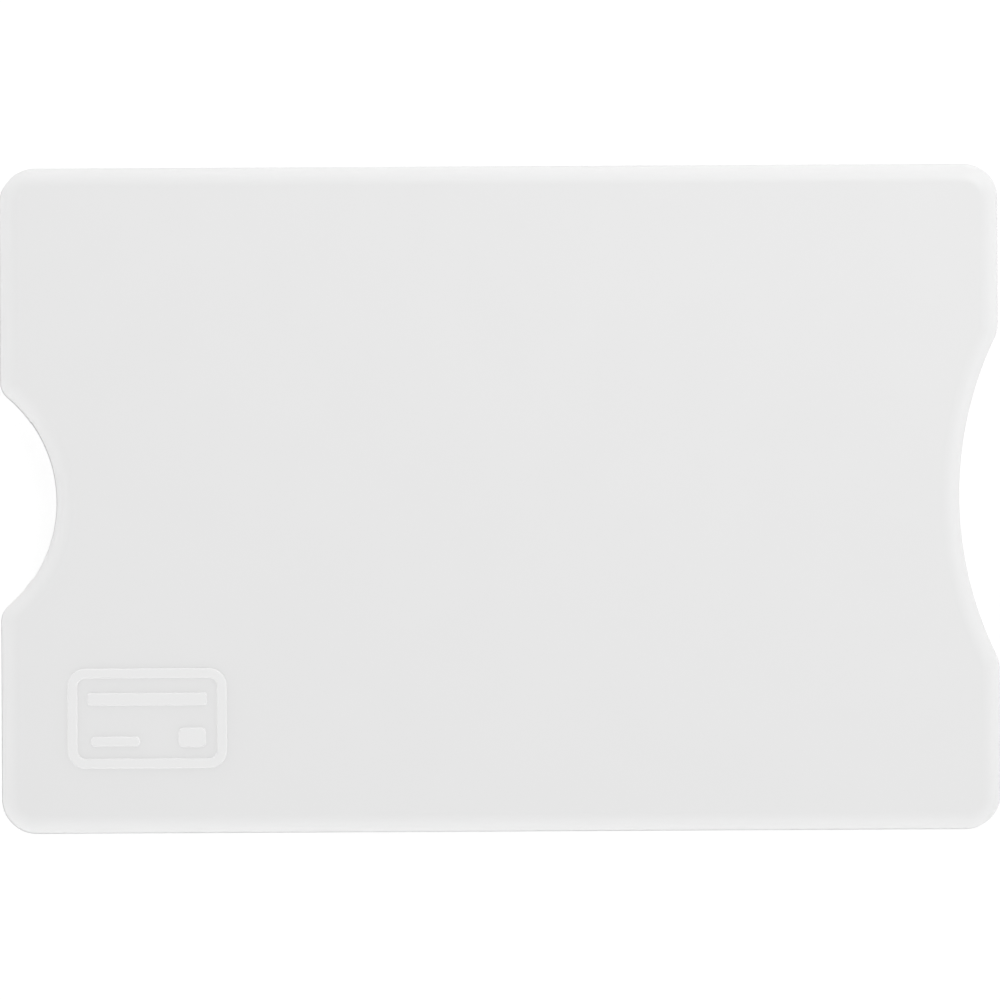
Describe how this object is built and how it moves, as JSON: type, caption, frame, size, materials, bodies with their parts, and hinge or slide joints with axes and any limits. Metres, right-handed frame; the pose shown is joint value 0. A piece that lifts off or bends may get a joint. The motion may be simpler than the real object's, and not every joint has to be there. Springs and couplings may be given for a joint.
{
  "type": "rfid card holder",
  "caption": "Slim hard plastic sleeve that shields a contactless card, with a thumb notch at the closed end and a shallow finger arc at the open mouth.",
  "frame": {"origin": "middle of the flat rear face, on which the holder lies", "axes": "+X along the length towards the open mouth, +Y across the width, +Z out of the front face"},
  "size_m": [0.091, 0.0606, 0.004],
  "materials": {
    "shell_plastic": "satin",
    "shield_sheet": "satin",
    "adhesive_film": "satin"
  },
  "bodies": {
    "root": {"front_shell": "shell_plastic", "rear_shell": "shell_plastic", "front_shield": "shield_sheet", "rear_shield": "shield_sheet", "front_adhesive": "adhesive_film", "rear_adhesive": "adhesive_film"}
  },
  "joints": []
}
